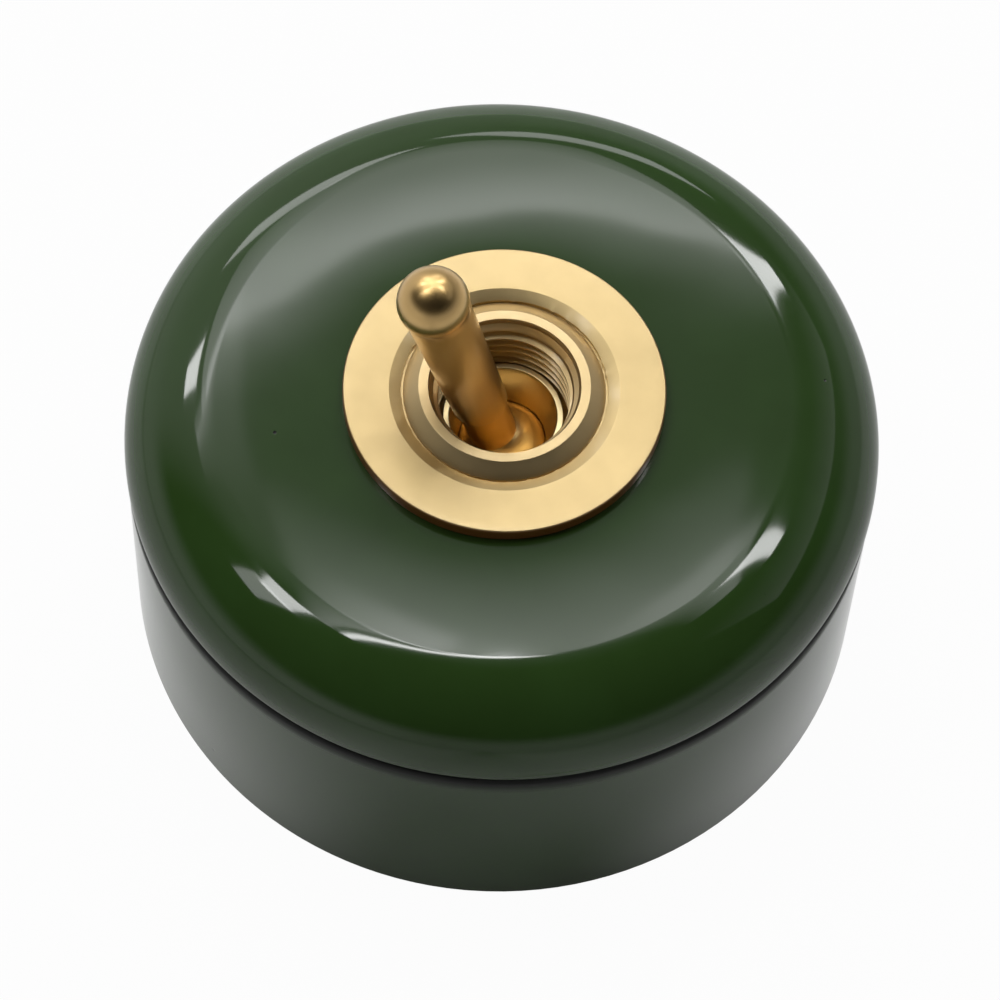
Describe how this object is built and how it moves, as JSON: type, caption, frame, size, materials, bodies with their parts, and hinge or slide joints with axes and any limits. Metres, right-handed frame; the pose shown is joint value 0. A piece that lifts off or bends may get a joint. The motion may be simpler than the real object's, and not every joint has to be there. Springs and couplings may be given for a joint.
{
  "type": "toggle light switch",
  "caption": "Round surface-mounted toggle light switch: glazed cover on a ring base, brass trim plate and sleeve nut, bat lever, snap-action switch inside.",
  "frame": {"origin": "centre of the base's back face, which lies on the wall", "axes": "+Z out of the wall towards the lever; the lever swings in the XZ plane, leaning to -X at rest; +Y up the wall when the lever swings sideways"},
  "size_m": [0.065, 0.065, 0.05],
  "materials": {
    "base_glaze": "gloss",
    "cover_glaze": "gloss",
    "trim_brass": "satin",
    "nut_brass": "satin",
    "zinc_steel": "satin",
    "screw_steel": "satin",
    "turned_brass": "satin",
    "brown_resin": "satin",
    "lever_brass": "satin",
    "nylon": "matte",
    "spring_brass": "satin",
    "silver": "polished",
    "terminal_brass": "satin"
  },
  "bodies": {
    "housing": {"base": "base_glaze", "cover": "cover_glaze", "trim_plate": "trim_brass", "ring_nut": "nut_brass", "bracket": "zinc_steel", "bracket_screw_upper": "screw_steel", "bracket_screw_lower": "screw_steel", "insert_upper": "turned_brass", "insert_lower": "turned_brass", "lock_washer": "zinc_steel", "hex_nut": "turned_brass", "bushing": "turned_brass", "switch_frame": "zinc_steel", "switch_case": "brown_resin", "lever_pin": "screw_steel", "fixed_contact_left": "silver", "fixed_contact_right": "silver", "left_terminal": "terminal_brass", "right_terminal": "terminal_brass", "centre_terminal": "terminal_brass", "terminal_screw_left": "screw_steel", "terminal_screw_right": "screw_steel", "terminal_screw_centre": "screw_steel"},
    "lever": {"toggle_lever": "lever_brass", "plunger_spring": "screw_steel"},
    "plunger": {"plunger": "nylon"},
    "rocker": {"rocker": "spring_brass", "moving_contact_left": "silver", "moving_contact_right": "silver"}
  },
  "joints": [
    {"name": "lever_hinge", "type": "hinge", "parent": "housing", "child": "lever", "pos_m": [0, 0, 0.0224], "axis": [0, 1, 0], "range_deg": [0, 28.4]},
    {"name": "rocker_tilt", "type": "hinge", "parent": "housing", "child": "rocker", "pos_m": [0, 0, 0.0114], "axis": [0, 1, 0], "range_deg": [-16, 0]},
    {"name": "plunger_slide", "type": "slide", "parent": "lever", "child": "plunger", "axis": [-0.2453, 0, 0.9694], "range_m": [0, 0.001], "stiffness_N_per_m": 200, "deforming": ["plunger_spring"]}
  ],
  "couplings": [
    {"joint": "rocker_tilt", "follows": "lever_hinge", "ratio": -0.5633}
  ]
}
